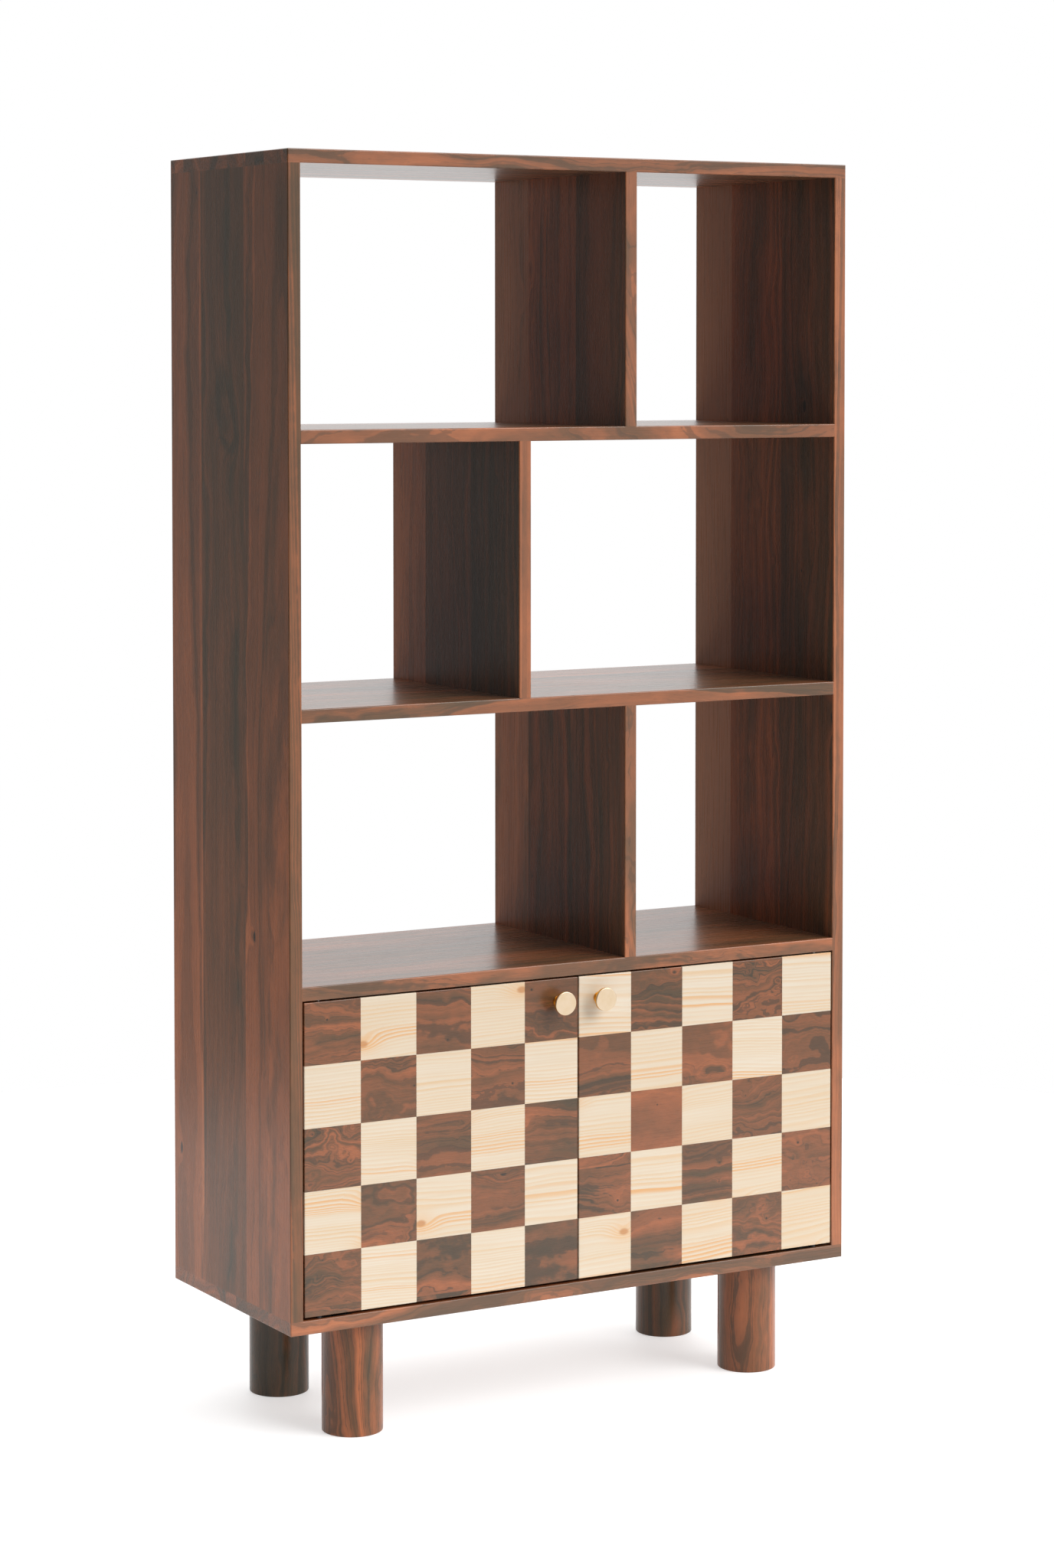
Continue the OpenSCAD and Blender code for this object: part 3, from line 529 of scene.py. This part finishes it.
def metal_material(name, colour, worn, roughness, brush_axes=(1, 1, 1)):
    """Metal with fine brush lines, a little uneven tone and a faintly worn polish."""
    made, g, place = new_material(name)
    scaled = g.xyz(*[g.mul(part, factor) for part, factor in zip(g.split(place), brush_axes)])
    lines = g.noise(scaled, 900.0, 2.0, 0.6)
    cloud = g.noise(place, 90.0, 3.0, 0.55)
    tone = g.blend(g.fit(cloud, 0.35, 0.70, 0.0, 0.5), colour, worn)
    rough = g.add(g.mad(g.sub(lines, 0.5), 0.16, roughness), g.mul(g.sub(cloud, 0.5), 0.12))
    finish_surface(g, tone, rough, lines, bump=0.05, depth=0.0002, Metallic=1.0)
    return made


def knob_material(name, node):
    """Turned brass: deeper gold round the rim and the stem, and a paler flat face whose colour is partly
    its finish and partly a painted reflection of the bright light in front.
    """
    made, g, place = new_material(name)
    face = g.math("LESS_THAN", g.split(place)[1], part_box(node)[0].y + KNOB_FACE_T)
    cloud = g.noise(place, 90.0, 3.0, 0.55)
    # the flat face's pale colour: partly its finish, partly a painted reflection of the bright light in
    # front
    face_finish_and_glare = g.blend(g.fit(cloud, 0.35, 0.70), srgb(221, 200, 173), srgb(215, 192, 160))
    colour = g.blend(face, srgb(238, 184, 84), face_finish_and_glare)
    rough = g.mad(g.sub(cloud, 0.5), 0.10, 0.36)
    finish_surface(g, colour, rough, cloud, bump=0.02, depth=0.0002, Metallic=1.0)
    return made


def plastic_material(name, dark, light, roughness):
    """Moulded plastic with a fine spark-eroded grain."""
    made, g, place = new_material(name)
    grain = g.noise(place, 1400.0, 2.0, 0.5)
    cloud = g.noise(place, 60.0, 2.0, 0.5)
    colour = g.blend(g.fit(cloud, 0.3, 0.7), dark, light)
    finish_surface(g, colour, g.mad(g.sub(grain, 0.5), 0.2, roughness), grain, bump=0.15, depth=0.0002)
    return made


# ---- materials on the CAD nodes ----

def dress(node, material):
    """Gives a CAD node one material."""
    slots = nodes[node].data.materials
    slots.clear()
    slots.append(material)


# each board's length, width and thickness directions, the seed of its figure, how much lighter
# its front, middle and rear thirds are as painted light falling in from the open back, and what else is
# special to it
BOARDS = {
    "top_board": ("xyz", 1.0, (0.01, 0.02, 0.01), {"stave": 0.027, "blocks": 0.32}),
    "bottom_board": ("xyz", 2.3, (0.02, 0.02, 0.05), {"stave": 0.032, "blocks": 0.30}),
    "upper_shelf": ("xyz", 3.1, (-0.03, -0.03, 0.07), {}),
    "middle_shelf": ("xyz", 4.7, (-0.03, -0.03, 0.07), {}),
    "cabinet_top_shelf": ("xyz", 5.9, (-0.03, -0.03, 0.07), {}),
    # the left side panel is painted lighter low down, as light from the floor
    "left_side_panel": ("zyx", 6.2, (0.00, 0.01, 0.06), {
        "painted_floor_glow": 0.16, "knot": (1.305, 0.012), "olive": 0.40, "seam": 0.40,
        "edge_lift": 0.01, "gloss": 0.3}),
    "right_side_panel": ("zyx", 7.8, (-0.05, 0.10, 0.66), {"inner_only": True}),
    "upper_divider": ("zyx", 8.4, (-0.08, 0.21, 0.52), {}),
    "middle_divider": ("zyx", 9.5, (-0.18, -0.05, 0.26), {}),
    "lower_divider": ("zyx", 10.6, (-0.03, 0.03, 0.38), {}),
}

# the seed of each leg's figure, and how much lighter the leg is; the rear legs' darkness is painted
# shade, as under the unit
LEGS = {
    "leg_front_left": (11.2, 0.12),
    "leg_front_right": (12.9, 0.10),
    "leg_rear_left": (13.4, -0.22),
    "leg_rear_right": (14.8, -0.20),
}

# each door's low corner, and the seeds of its dark tiles, its light tiles and its core
DOORS = {
    "left": (LEFT_LOW, 1.5, 3.5, 21.0),
    "right": (RIGHT_LOW, 2.5, 4.5, 22.0),
}

for name, (axes, seed, painted_depth_light, special) in BOARDS.items():
    dress(name, dark_board_material(name, axes, seed, painted_depth_light, **special))
for name, (seed, lift) in LEGS.items():
    dress(name, leg_material(name, seed, lift))

for side, (low, dark_seed, light_seed, core_seed) in DOORS.items():
    core = side + "_door_core"
    dress(side + "_door_dark_tiles", dark_tile_material(side + "_dark_tile_wood", low, dark_seed))
    dress(side + "_door_light_tiles", light_tile_material(side + "_light_tile_wood", low, light_seed))
    dress(core, plywood_material(core + "_wood", core, "zxy", core_seed))
dress("cabinet_back_panel", plywood_material("back_panel_wood", "cabinet_back_panel", "xzy", 25.0))

dowel_wood = bare_dowel_material("dowel_wood")
for name in ("side_panel_dowels", "shelf_dowels", "divider_dowels"):
    dress(name, dowel_wood)

knob_brass = knob_material("knob_brass", "left_door_knob")
hinge_steel = metal_material("hinge_steel", srgb(186, 186, 188), srgb(160, 160, 164), 0.32, (1, 20, 20))
zinc_plate = metal_material("zinc_plate", srgb(200, 202, 206), srgb(176, 178, 184), 0.28)
magnet_metal = metal_material("magnet_metal", srgb(120, 120, 126), srgb(96, 96, 102), 0.38)
catch_plastic = plastic_material("catch_plastic", srgb(26, 26, 28), srgb(38, 38, 41), 0.5)
washer_nylon = plastic_material("washer_nylon", srgb(24, 24, 26), srgb(34, 34, 37), 0.45)

for name in nodes:
    if name.endswith("_knob"):
        dress(name, knob_brass)
    elif name.endswith(("screws", "screw")) or name.startswith("leg_threaded"):
        dress(name, zinc_plate)
    elif name.endswith("hinge_leaves") or name.endswith("strike_plate") or name == "hinge_pins":
        dress(name, hinge_steel)
dress("catch_magnets", magnet_metal)
dress("catch_housings", catch_plastic)
dress("hinge_bearing_washers", washer_nylon)


# ---- stage, light and camera ----

def make_floor():
    """A plain pale floor around the unit, which glows a little like a light table."""
    reach = 2.2
    sides = 128
    angles = [math.tau * i / sides for i in range(sides)]
    rim = [(reach * math.cos(angle), reach * math.sin(angle), 0) for angle in angles]
    mesh = bpy.data.meshes.new("floor")
    mesh.from_pydata(rim, [], [list(range(sides))])
    floor = bpy.data.objects.new("floor", mesh)
    bpy.context.scene.collection.objects.link(floor)
    made, g, place = new_material("pale_floor")
    cloud = g.noise(place, 0.6, 2.0, 0.5)
    colour = g.blend(g.fit(cloud, 0.3, 0.7), (0.57, 0.57, 0.57, 1), (0.59, 0.59, 0.59, 1))
    finish_surface(g, colour, 0.6, Emission_Color=(1, 1, 1, 1), Emission_Strength=0.56)
    mesh.materials.append(made)


def make_world():
    """Soft white surroundings: bright overhead, behind and on the right, dim on the left."""
    world = bpy.data.worlds.new("studio")
    bpy.context.scene.world = world
    world.use_nodes = True
    world.node_tree.nodes.clear()
    g = Graph(world.node_tree)
    x, y, z = g.split(g.node("ShaderNodeTexCoord").outputs["Generated"])

    # strength by direction, from dim on the left to bright on the right, more behind and above
    around = g.fit(g.mad(g.math("MAXIMUM", y, -0.3), 0.45, x), -0.15, 0.35, 0.05, 1.0, smooth=True)
    around = g.mul(around, g.fit(y, 0.0, 0.5, 1.0, 1.25))
    overhead = g.fit(z, 0.60, 0.85, 0.0, 1.2, smooth=True)
    strength = g.add(around, overhead)

    # the camera itself sees plain white
    soft = g.node("ShaderNodeBackground", {"Color": (1, 1, 1, 1), "Strength": strength})
    plain = g.node("ShaderNodeBackground", {"Color": (1, 1, 1, 1), "Strength": 1.0})
    seen = g.node("ShaderNodeLightPath").outputs["Is Camera Ray"]
    both = g.node("ShaderNodeMixShader", {0: seen, 1: soft.outputs[0], 2: plain.outputs[0]})
    g.put(g.node("ShaderNodeOutputWorld").inputs["Surface"], both.outputs[0])


def make_sun(name, direction, angle, power):
    """Even light that comes from one direction, as from a far, wide soft box."""
    data = bpy.data.lights.new(name, "SUN")
    data.angle = math.radians(angle)
    data.energy = power
    light = bpy.data.objects.new(name, data)
    bpy.context.scene.collection.objects.link(light)
    light.rotation_euler = (-Vector(direction)).to_track_quat("-Z", "Y").to_euler()


def make_camera():
    """An 85 mm view from the left front, with the horizon above the middle of the frame."""
    data = bpy.data.cameras.new("camera")
    data.lens = 85.67
    data.sensor_width = 36.0
    data.shift_y = -0.17
    data.shift_x = -0.0043
    camera = bpy.data.objects.new("camera", data)
    bpy.context.scene.collection.objects.link(camera)
    camera.location = (-2.5114, -4.3830, 1.3997)
    turn = math.radians(30.083)
    dip = math.radians(2.5085)
    ahead = Vector((math.sin(turn) * math.cos(dip), math.cos(turn) * math.cos(dip), -math.sin(dip)))
    camera.rotation_euler = ahead.to_track_quat("-Z", "Y").to_euler()
    bpy.context.scene.camera = camera


make_floor()
make_world()
make_sun("key_light", (0.50, -0.72, 0.60), 40.0, 2.4)
make_camera()
bpy.context.scene.view_settings.view_transform = "Standard"
